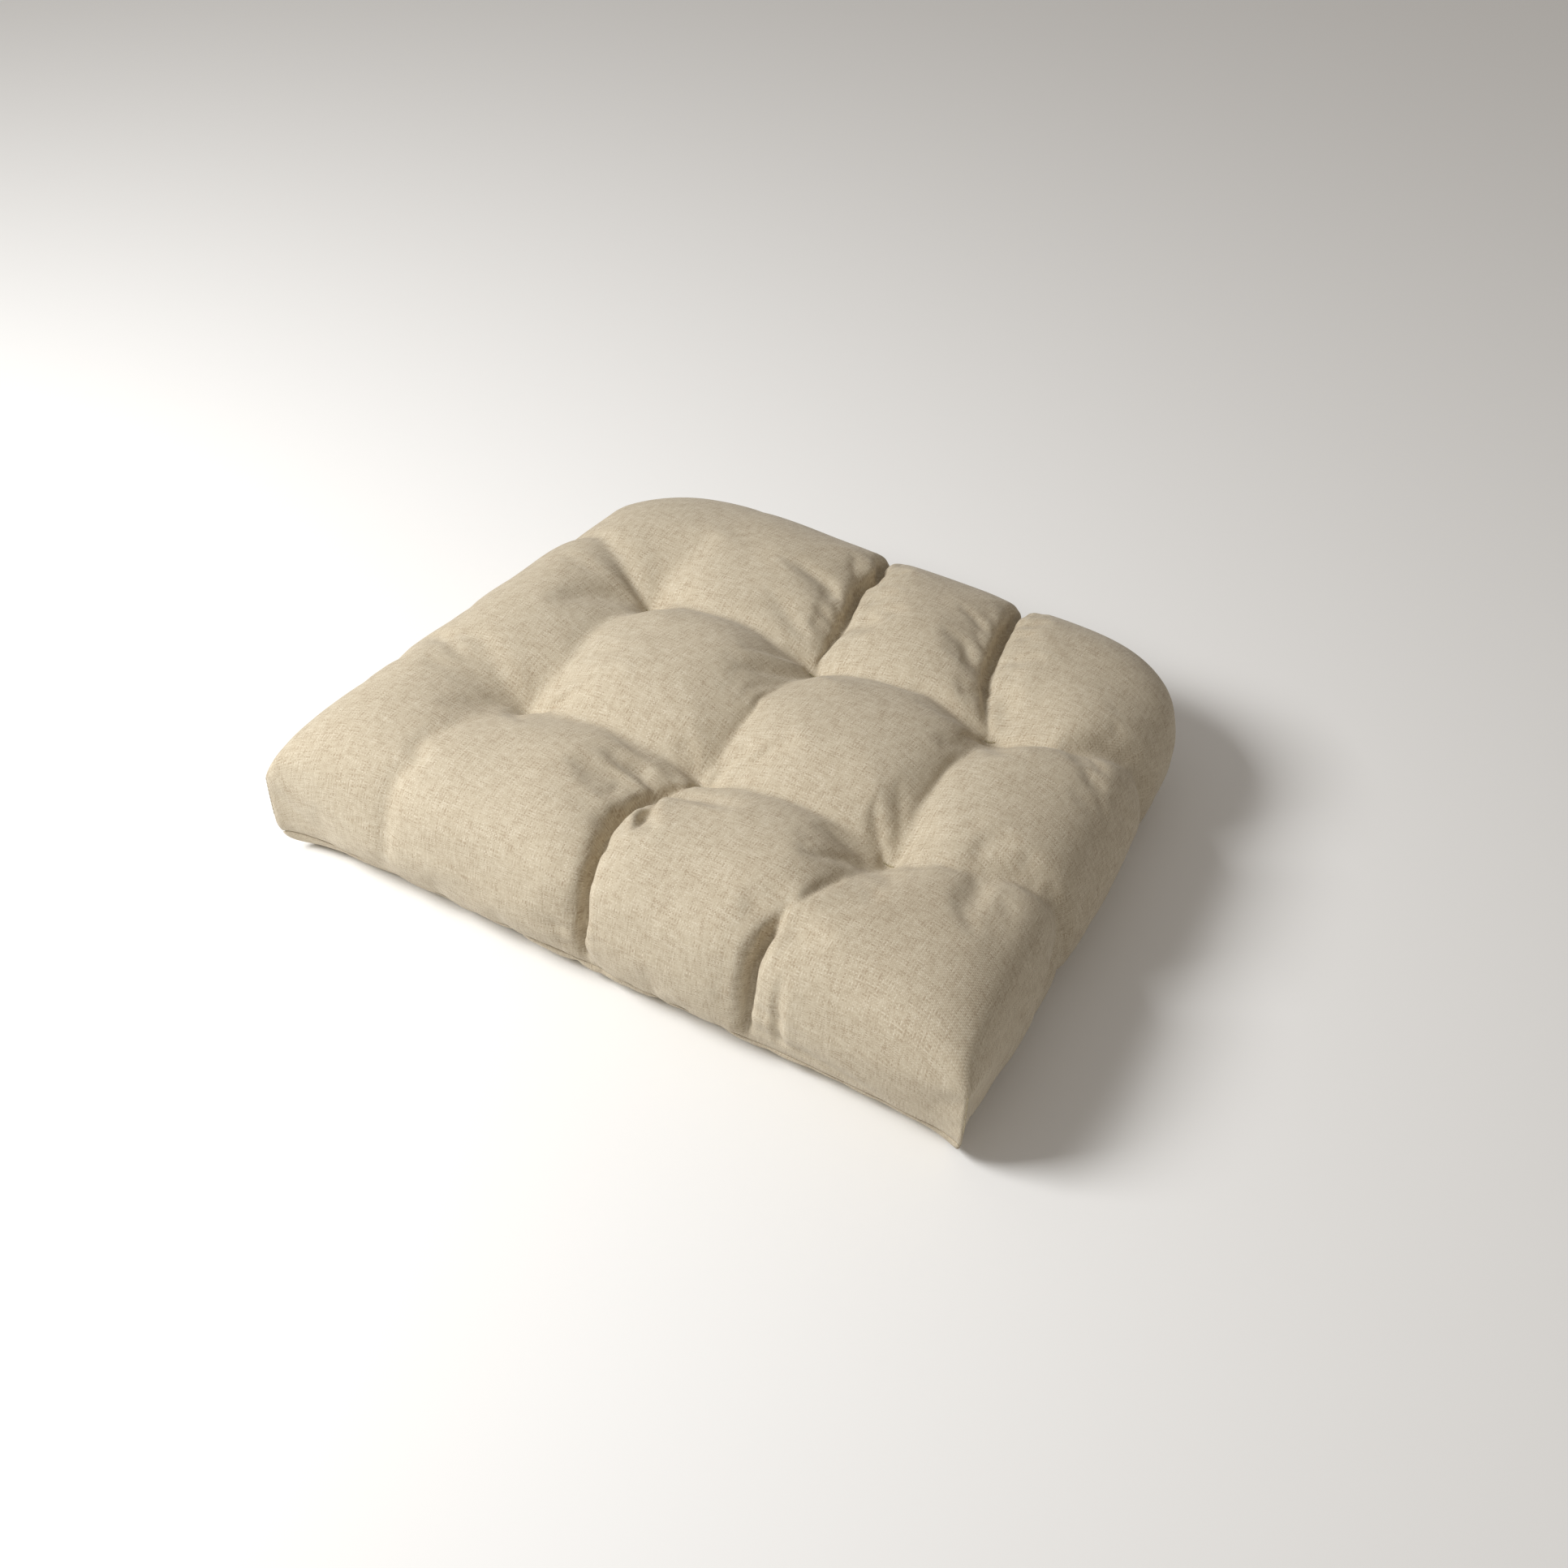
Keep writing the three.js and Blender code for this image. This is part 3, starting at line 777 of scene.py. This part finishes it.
def woven_cloth():
    """Plain-woven outdoor cloth of solution-dyed polyester. Its yarns are slubbed and of mixed shades,
    so it reads as a matt heather with streaks along both yarn directions. The yarns are drawn about
    twice as coarse as the real ones, so that they show."""
    cover = settings().cover
    material, tree, shader = empty_material("woven_polyester")
    place = add(tree, "ShaderNodeUVMap", {"uv_map": "weave"})
    split = add(tree, "ShaderNodeSeparateXYZ", None, place)
    across, along = split.outputs[0], split.outputs[1]
    drift = add(tree, NOISE, FLAT, Vector=place, Scale=45.0, Detail=2.0)
    bend = add(tree, MATH, MULTIPLY, add(tree, MATH, SUBTRACT, drift, 0.5), 1.5)
    counts, shades, heights = [], [], []
    for across_yarn, along_yarn in ((across, along), (along, across)):
        count = add(tree, MATH, ADD, add(tree, MATH, DIVIDE, across_yarn, cover.yarn), bend)
        number = add(tree, MATH, FLOOR, count)
        run = add(tree, MATH, DIVIDE, along_yarn, cover.slub)
        offset = add(tree, MATH, MULTIPLY, number, 7.31)
        spot = add(tree, "ShaderNodeCombineXYZ", None, add(tree, MATH, ADD, run, offset), number)
        counts.append(count)
        shades.append(add(tree, NOISE, FLAT, Vector=spot, Scale=1.0, Detail=2.0, Roughness=0.6))
        within = add(tree, MATH, FRACT, count)
        heights.append(add(tree, MATH, SINE, add(tree, MATH, MULTIPLY, within, math.pi)))
    turns = [
        add(tree, MATH, ABSOLUTE, add(tree, MATH, MODULO, add(tree, MATH, FLOOR, count), 2.0))
        for count in counts
    ]
    over = add(tree, MATH, ABSOLUTE, add(tree, MATH, SUBTRACT, *turns))
    shade = add(tree, "ShaderNodeMix", Factor=over, A=shades[0], B=shades[1])
    cloudy = add(tree, NOISE, FLAT, Vector=place, Scale=9.0, Detail=3.0)
    cloud = add(tree, MATH, MULTIPLY, add(tree, MATH, SUBTRACT, cloudy, 0.5), 0.12)
    ramp = add(tree, "ShaderNodeValToRGB", None, add(tree, MATH, ADD, shade, cloud))
    darkest, palest = ramp.color_ramp.elements
    darkest.position, darkest.color = 0.3, cover.dark_yarn
    palest.position, palest.color = 0.72, cover.light_yarn
    ramp.color_ramp.elements.new(0.5).color = cover.main_yarn
    height = add(tree, "ShaderNodeMix", Factor=over, A=heights[0], B=heights[1])
    relief = add(tree, "ShaderNodeBump", Height=height, Strength=0.35, Distance=0.2 * MM)
    # Painted shade: the colour is darkened to 0.9 where each yarn curves down into the gaps between
    # yarns.
    between = add(tree, "ShaderNodeMapRange", Value=height, From_Max=0.7, To_Min=0.9)
    painted_gap_shade = add(tree, "ShaderNodeMix", {"data_type": "RGBA", "blend_type": "MULTIPLY"}, 1.0)
    tree.links.new(ramp.outputs[0], painted_gap_shade.inputs[6])
    tree.links.new(between.outputs[0], painted_gap_shade.inputs[7])
    tree.links.new(painted_gap_shade.outputs[2], shader.inputs["Base Color"])
    tree.links.new(relief.outputs[0], shader.inputs["Normal"])
    finished(shader, Roughness=0.88, IOR=1.5, Specular_IOR_Level=0.25, Sheen_Weight=0.12,
             Sheen_Roughness=0.5)
    return material


def spun_thread(name, colour, twist):
    """Bonded polyester thread or twine. Its twist shows as slanted bands with a slight sheen."""
    material, tree, shader = empty_material(name)
    place = add(tree, "ShaderNodeTexCoord").outputs["Object"]
    bands = add(tree, "ShaderNodeTexWave", {"bands_direction": "DIAGONAL"}, Vector=place,
                Scale=0.35 / twist, Distortion=1.5, Detail=2.0)
    fibres = add(tree, NOISE, Vector=place, Scale=2500.0, Detail=2.0)
    mixed = add(tree, MATH, MULTIPLY, bands.outputs["Fac"], fibres)
    # Painted shade: the thread's colour falls to 0.72 of its tone where the twist bands and fibres sit
    # low in the relief.
    two_tone(tree, shader, mixed, (0, shaded(colour, 0.72)), (0.6, colour), 0.4, 0.1 * MM)
    finished(shader, Roughness=0.6, IOR=1.5, Sheen_Weight=0.2)
    return material


def carded_fibre():
    """Hollow polyester fibre, carded into a loose white mass. Its strands show as a fine soft tangle."""
    material, tree, shader = empty_material("carded_polyester_fibre")
    place = add(tree, "ShaderNodeTexCoord").outputs["Object"]
    tangle = add(tree, NOISE, Vector=place, Scale=420.0, Detail=6.0, Roughness=0.7, Distortion=2.5)
    white = settings().ties.fibre_colour
    # Painted shade: the white fibre falls to 0.8 of its tone in the low hollows of the tangle's relief.
    two_tone(tree, shader, tangle, (0.3, shaded(white, 0.8)), (0.65, white), 0.8, 1.0 * MM)
    finished(shader, Roughness=1.0, IOR=1.5, Sheen_Weight=0.3)
    return material


def moulded_nylon():
    """Injection-moulded nylon, satin, with the faint mottle of its mould."""
    material, tree, shader = empty_material("moulded_nylon")
    place = add(tree, "ShaderNodeTexCoord").outputs["Object"]
    grain = add(tree, NOISE, Vector=place, Scale=900.0, Detail=3.0)
    colour = settings().ties.washer_colour
    two_tone(tree, shader, grain, (0, shaded(colour, 0.9)), (1, colour), 0.15, 0.05 * MM)
    rough = add(tree, "ShaderNodeMapRange", Value=grain, To_Min=0.38, To_Max=0.52)
    tree.links.new(rough.outputs[0], shader.inputs["Roughness"])
    finished(shader, IOR=1.53)
    return material


def painted_floor():
    """A matt white studio floor with the faint unevenness of rolled paint."""
    material, tree, shader = empty_material("rolled_matt_paint")
    place = add(tree, "ShaderNodeTexCoord").outputs["Object"]
    rolled = add(tree, NOISE, Vector=place, Scale=60.0, Detail=3.0)
    rough = add(tree, "ShaderNodeMapRange", Value=rolled, To_Min=0.75, To_Max=0.85)
    finished(shader, Base_Color=settings().stage.floor)
    tree.links.new(rough.outputs[0], shader.inputs["Roughness"])
    return material


# ---- operators ----

class SEATPAD_OT_sew_cover(bpy.types.Operator):
    """Sew the cover, inflate it with its stuffing and part it into its two panels"""

    bl_idname = "seat_pad.sew_cover"
    bl_label = "Sew and Stuff Cover"

    def execute(self, context):
        cover = settings().cover
        cell = cover.cell * 1
        form = CoverForm(cell, cover.start_crown, cover.inset)
        points = stuffed_cover(form, cover)
        points[:, 2] = np.maximum(points[:, 2], 0)
        edge, inward = seam_edge(points, form)
        ring = form.rings[form.seam]
        cloth = woven_cloth()
        for name, faces, cut, side in (
            ("top_cover_cloth", form.top_faces, form.top_cut, 1),
            ("bottom_cover_cloth", form.bottom_faces, form.bottom_cut, -1),
        ):
            piece = panel(name, points, faces, cut, ring, form.darts(), edge, inward, side, cover)
            piece.data.materials.append(cloth)
            made_plain(piece)
            finish_piece(piece, "cover_fabric", name.replace("_cloth", ""))
        self.draw_stitch_lines(form, points, edge, inward)
        self.stuff(form, points)
        return {"FINISHED"}

    def draw_stitch_lines(self, form, points, edge, inward):
        """The lines that the seams are sewn along."""
        in_closing = (edge[:, 1] > 0) & (abs(edge[:, 0]) < CLOSING / 2)
        first, count = np.argmax(in_closing), np.count_nonzero(in_closing)
        line = np.roll(edge + inward * THREAD_INSET, -first, axis=0)
        line_mesh("closing_line", line[:count])
        line_mesh("seam_line", line[count:])
        left, right = form.darts().reshape(-1, 2).T
        cover = bpy.data.objects["top_cover_cloth"]
        for side, column in (("left", left), ("right", right)):
            corner = points[column]
            sewn = corner[(corner[:, 2] > DART_LOW) & (corner[:, 2] < DART_HIGH)]
            line = np.array([cover.closest_point_on_mesh(Vector(point))[1] for point in sewn])
            line_mesh(f"{side}_dart_line", line)

    def stuff(self, form, points):
        """The stuffing, a lumpy mass just inside the cover."""
        outward = form.normals(points)
        lumps = np.array([
            noise.fractal(Vector(point) * 60, 1, 2, 3) + 0.6 * noise.noise(Vector(point) * 250)
            for point in points
        ])
        depth = FIBRE_GAP + FIBRE_LUMPS * (1 + np.clip(lumps, -1, 1))
        for ring in form.rings[form.seam - 1:]:
            depth[ring] += FIBRE_SEAM_GAP
        inside = points - outward * depth[:, None]
        to_corner = np.hypot(abs(form.points[:, 0]) - WIDTH / 2, form.points[:, 1] + DEPTH / 2)
        nearness = np.exp(-((to_corner / FIBRE_CORNER_REACH) ** 2))
        inside[:, :2] *= 1 - FIBRE_CORNER_SHARE * nearness[:, None]
        inside[:, 2] = np.maximum(inside[:, 2], FIBRE_FLOOR)
        piece = smooth_piece("stuffing", inside.tolist(), form.faces.tolist(), carded_fibre())
        finish_piece(piece, "fibre_filling", "fibre_fill")


def finish_piece(piece, slot, *nodes):
    """Hands a finished piece to the frame."""
    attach(piece, "root")
    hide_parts(*nodes)


def stitch_tree():
    """Geometry nodes that lay a stitch at equal distances along a line of edges."""
    tree = bpy.data.node_groups.new("stitches_along_a_line", "GeometryNodeTree")
    ports = tree.interface
    ports.new_socket("Geometry", in_out="OUTPUT", socket_type="NodeSocketGeometry")
    ports.new_socket("Geometry", in_out="INPUT", socket_type="NodeSocketGeometry")
    for name in ("Spacing", "Length", "Thickness", "Slant"):
        ports.new_socket(name, in_out="INPUT", socket_type="NodeSocketFloat")
    ports.new_socket("Material", in_out="INPUT", socket_type="NodeSocketMaterial")
    given = tree.nodes.new("NodeGroupInput").outputs
    line = add(tree, "GeometryNodeMeshToCurve", Mesh=given["Geometry"])
    upright = add(tree, "GeometryNodeSetCurveNormal", {"mode": "Z_UP"}, Curve=line)
    even = add(tree, "GeometryNodeResampleCurve", {"mode": "LENGTH"}, Curve=upright,
               Length=given["Spacing"])
    places = add(tree, "GeometryNodeCurveToPoints", {"mode": "EVALUATED"}, Curve=even)
    ball = add(tree, "GeometryNodeMeshUVSphere", Segments=10, Rings=8, Radius=0.5)
    shape = add(tree, "ShaderNodeCombineXYZ", None, given["Thickness"], given["Thickness"],
                given["Length"])
    long = add(tree, "GeometryNodeTransform", Geometry=ball, Scale=shape)
    lean = add(tree, "ShaderNodeCombineXYZ", X=given["Slant"])
    stitch = add(tree, "GeometryNodeTransform", Geometry=long, Rotation=lean)
    uneven = add(tree, "FunctionNodeRandomValue", {"data_type": "FLOAT"}, Min=0.88, Max=1.0, Seed=3)
    laid = add(tree, "GeometryNodeInstanceOnPoints", Points=places, Instance=stitch,
               Rotation=places.outputs["Rotation"], Scale=uneven.outputs["Value"])
    solid = add(tree, "GeometryNodeRealizeInstances", Geometry=laid)
    painted = add(tree, "GeometryNodeSetMaterial", Geometry=solid, Material=given["Material"])
    tree.links.new(painted.outputs[0], tree.nodes.new("NodeGroupOutput").inputs[0])
    return tree


class SEATPAD_OT_stitch_seams(bpy.types.Operator):
    """Sew the perimeter seam, the closing and the two front darts"""

    bl_idname = "seat_pad.stitch_seams"
    bl_label = "Stitch Seams"

    def execute(self, context):
        thread = settings().stitches
        tree = stitch_tree()
        material = spun_thread("bonded_polyester_thread", thread.colour, 1.2 * MM)
        machine = {"Spacing": thread.stitch, "Length": 0.95 * thread.stitch, "Thickness": thread.thread,
                   "Slant": 0.0}
        by_hand = {"Spacing": thread.hand_stitch, "Length": 0.55 * thread.hand_stitch,
                   "Thickness": thread.thread, "Slant": math.radians(60)}
        for line, node, how in (
            ("seam_line", "seam_stitching", machine),
            ("closing_line", "closing_stitching", by_hand),
            ("left_dart_line", "left_dart_stitching", machine),
            ("right_dart_line", "right_dart_stitching", machine),
        ):
            piece = link(node.replace("stitching", "stitches"), bpy.data.meshes[line])
            sewn = piece.modifiers.new("stitches", "NODES")
            sewn.node_group = tree
            for name, value in {**how, "Material": material}.items():
                sewn[tree.interface.items_tree[name].identifier] = value
            made_plain(piece)
            piece.data.polygons.foreach_set("use_smooth", [True] * len(piece.data.polygons))
            finish_piece(piece, "sewing_thread", node)
        return {"FINISHED"}


def directions(path):
    """Unit directions along a path."""
    along = np.gradient(path, axis=0)
    return along / np.linalg.norm(along, axis=1)[:, None]


def tube(path, radius, sides=7):
    """A tube's points and faces along a path, with closed ends."""
    along = directions(path)
    across = np.cross(along[0], [0.31, 0.87, 0.38])
    rings = []
    for place, way in zip(path, along):
        across = across - way * (across @ way)
        across /= np.linalg.norm(across)
        beside = np.cross(way, across)
        turn = np.linspace(0, 2 * np.pi, sides, endpoint=False)[:, None]
        rings.append(place + radius * (np.cos(turn) * across + np.sin(turn) * beside))
    points = np.vstack([*rings, path[:1], path[-1:]])
    faces = []
    for step in range(len(path) - 1):
        low, high = step * sides, (step + 1) * sides
        for k in range(sides):
            after = (k + 1) % sides
            faces.append((low + k, low + after, high + after, high + k))
    start_tip, end_tip, last = len(points) - 2, len(points) - 1, (len(path) - 1) * sides
    for k in range(sides):
        after = (k + 1) % sides
        faces.append((start_tip, after, k))
        faces.append((end_tip, last + k, last + after))
    return points, faces


class SEATPAD_OT_tie_tufts(bpy.types.Operator):
    """Tie each tuft with a two-ply twine that is looped through the pad and knotted under its washer"""

    bl_idname = "seat_pad.tie_tufts"
    bl_label = "Tie Tufts"

    def execute(self, context):
        ties = settings().ties
        material = spun_thread("twisted_tufting_twine", ties.colour, 0.5 * ties.twist)
        cover = bpy.data.objects["top_cover_cloth"]
        for number, (node, (x, y)) in enumerate(zip(TIES, TUFTS), start=1):
            path = self.strand(cover, x, y, ties)
            points, faces = [], []
            for phase in (0, np.pi):
                ply, ply_faces = tube(self.wound(path, ties, phase), ties.ply / 2)
                base = sum(len(part) for part in points)
                faces += [tuple(base + corner for corner in face) for face in ply_faces]
                points.append(ply)
            piece = smooth_piece(f"tuft_twine_{number}", np.vstack(points).tolist(), faces, material)
            finish_piece(piece, "tuft_twine", node)
        return {"FINISHED"}

    def strand(self, cover, x, y, ties):
        """The twine's middle line: tail, knot, leg, the bar over the cover, leg, knot and tail."""
        leg, waist = LEG_SPACING / 2, KNOT_WAIST
        heights = []
        for share in np.linspace(-1, 1, 9):
            hit, place, _, _ = cover.ray_cast((x + leg * share, y, 0.2), (0, 0, -1))
            heights.append(place.z + BAR_LIFT if hit else TUFT_FLOOR)
        bar = [(leg * share, 0, z) for share, z in zip(np.linspace(-1, 1, 9), heights)]
        turns = np.linspace(0, KNOT_TURNS * 2 * np.pi, 28)
        wraps = [
            (waist * np.cos(turn), waist * np.sin(turn), KNOT_HIGH - KNOT_FALL * turn / turns[-1])
            for turn in turns
        ]
        sag = KNOT_LOW + ties.ply
        tail = [
            (-waist - ties.tail * share, TAIL_SPREAD * share**2,
             TAIL_START + (sag - TAIL_START) * share**0.6)
            for share in np.linspace(0.15, 1, 6)
        ]
        down = [(leg, 0, z) for z in np.linspace(bar[-1][2] - 1.2 * MM, LEG_END, 12)]
        half = np.array([*down, *wraps, *tail])
        other = half * [-1, -1, 1]
        line = np.vstack([other[::-1], bar, half])
        return spaced(rounded_path(line, 2), np.linspace(0, 1, 14 * len(line))) + [x, y, 0]

    def wound(self, path, ties, phase):
        """One ply's path, wound round the twine's middle line."""
        along = directions(path)
        travel = np.cumsum(np.linalg.norm(np.diff(path, axis=0, prepend=path[:1]), axis=1))
        across = np.cross(along, [0.0, 1.0, 0.0])
        across += 1e-6
        across /= np.linalg.norm(across, axis=1)[:, None]
        beside = np.cross(along, across)
        turn = (2 * np.pi * travel / ties.twist + phase)[:, None]
        return path + ties.ply / 2 * (np.cos(turn) * across + np.sin(turn) * beside)


class SEATPAD_OT_mould_washers(bpy.types.Operator):
    """Mould the round two-hole washers that spread the pull of the ties on the underside"""

    bl_idname = "seat_pad.mould_washers"
    bl_label = "Mould Washers"

    def execute(self, context):
        nylon = moulded_nylon()
        for number, (node, (x, y)) in enumerate(zip(WASHERS, TUFTS), start=1):
            disc = bpy.data.curves.new(f"washer_disc_{number}", "CURVE")
            disc.dimensions = "2D"
            disc.fill_mode = "BOTH"
            disc.bevel_depth = RIM
            disc.bevel_resolution = 3
            disc.offset = -disc.bevel_depth
            disc.extrude = (WASHER_HIGH - WASHER_LOW) / 2 - disc.bevel_depth
            self.circle(disc, 0, WASHER_RADIUS)
            for side in (-1, 1):
                self.circle(disc, side * LEG_SPACING / 2, HOLE_RADIUS)
            blank = link(f"nylon_washer_{number}", disc)
            mesh = bpy.data.meshes.new_from_object(
                blank.evaluated_get(bpy.context.evaluated_depsgraph_get()))
            bpy.data.objects.remove(blank)
            bpy.data.curves.remove(disc)
            weld = bmesh.new()
            weld.from_mesh(mesh)
            bmesh.ops.remove_doubles(weld, verts=weld.verts, dist=0.01 * MM)
            bmesh.ops.recalc_face_normals(weld, faces=weld.faces)
            weld.to_mesh(mesh)
            weld.free()
            mesh.transform(Matrix.Translation((x, y, (WASHER_LOW + WASHER_HIGH) / 2)))
            mesh.materials.clear()
            mesh.materials.append(nylon)
            finish_piece(link(f"nylon_washer_{number}", mesh), "tuft_washer", node)
        return {"FINISHED"}

    def circle(self, curve, centre, radius):
        """A round outline, centred along X."""
        spline = curve.splines.new("BEZIER")
        spline.bezier_points.add(3)
        spline.use_cyclic_u = True
        spline.resolution_u = 12
        for point, (dx, dy) in zip(spline.bezier_points, ((1, 0), (0, 1), (-1, 0), (0, -1))):
            handle = 0.5523 * radius
            place = Vector((centre + radius * dx, radius * dy, 0))
            way = Vector((-dy, dx, 0)) * handle
            point.co = place
            point.handle_left, point.handle_right = place - way, place + way


class SEATPAD_OT_set_stage(bpy.types.Operator):
    """Set the floor, the lights and the camera"""

    bl_idname = "seat_pad.set_stage"
    bl_label = "Set Stage"

    def execute(self, context):
        stage = settings().stage
        scene = context.scene
        scene.view_settings.view_transform = "Standard"
        mesh = bpy.data.meshes.new("floor")
        corners = [(FLOOR_HALF * x, FLOOR_HALF * y, 0) for x, y in ((-1, -1), (1, -1), (1, 1), (-1, 1))]
        mesh.from_pydata(corners, [], [(0, 1, 2, 3)])
        mesh.materials.append(painted_floor())
        link("floor", mesh)
        world = bpy.data.worlds.new("white_room")
        world.use_nodes = True
        sky = world.node_tree.nodes["Background"]
        sky.inputs["Color"].default_value = stage.sky_colour
        sky.inputs["Strength"].default_value = stage.sky
        scene.world = world
        self.light("key_light", KEY_PLACE, KEY_SIZE, stage.key)
        self.camera(stage)
        return {"FINISHED"}

    def light(self, name, place, size, power):
        """A square soft box that faces the pad."""
        lamp = bpy.data.lights.new(name, "AREA")
        lamp.size = size
        lamp.energy = power
        aim = Vector((0, 0, CROWN / 2)) - Vector(place)
        turn = aim.to_track_quat("-Z", "Y").to_matrix().to_4x4()
        link(name, lamp).matrix_world = Matrix.Translation(place) @ turn

    def camera(self, stage):
        """The camera, turned by azimuth, elevation and roll."""
        camera = link("camera", bpy.data.cameras.new("camera"))
        camera.data.lens = stage.lens
        camera.data.sensor_width = 36
        turn = (
            Matrix.Rotation(stage.azimuth, 4, "Z")
            @ Matrix.Rotation(math.pi / 2 - stage.elevation, 4, "X")
            @ Matrix.Rotation(stage.roll, 4, "Z")
        )
        camera.matrix_world = Matrix.Translation(stage.place) @ turn
        bpy.context.scene.camera = camera


class SeatPadSettings(bpy.types.PropertyGroup):
    """All of the pad's settings."""

    cover: PointerProperty(type=CoverSettings)
    stitches: PointerProperty(type=StitchSettings)
    ties: PointerProperty(type=TieSettings)
    stage: PointerProperty(type=StageSettings)


OPERATORS = (
    SEATPAD_OT_set_stage, SEATPAD_OT_sew_cover, SEATPAD_OT_stitch_seams, SEATPAD_OT_tie_tufts,
    SEATPAD_OT_mould_washers,
)


class SEATPAD_PT_sidebar(bpy.types.Panel):
    """The seat pad's settings and steps"""

    bl_idname = "SEATPAD_PT_sidebar"
    bl_label = "Seat Pad"
    bl_space_type = "VIEW_3D"
    bl_region_type = "UI"
    bl_category = "Seat Pad"

    def draw(self, context):
        for group in (settings().cover, settings().stitches, settings().ties, settings().stage):
            box = self.layout.box()
            for name in group.__annotations__:
                box.prop(group, name)
        for operator in OPERATORS:
            self.layout.operator(operator.bl_idname)


CLASSES = (
    CoverSettings, StitchSettings, TieSettings, StageSettings, SeatPadSettings, *OPERATORS,
    SEATPAD_PT_sidebar,
)


def register():
    for cls in CLASSES:
        bpy.utils.register_class(cls)
    bpy.types.Scene.seat_pad = PointerProperty(type=SeatPadSettings)


def unregister():
    del bpy.types.Scene.seat_pad
    for cls in reversed(CLASSES):
        bpy.utils.unregister_class(cls)


def main():
    """Makes the pad and its stage."""
    register()
    bpy.ops.seat_pad.set_stage()
    bpy.ops.seat_pad.sew_cover()
    bpy.ops.seat_pad.stitch_seams()
    bpy.ops.seat_pad.tie_tufts()
    bpy.ops.seat_pad.mould_washers()


if __name__ == "__main__":
    main()
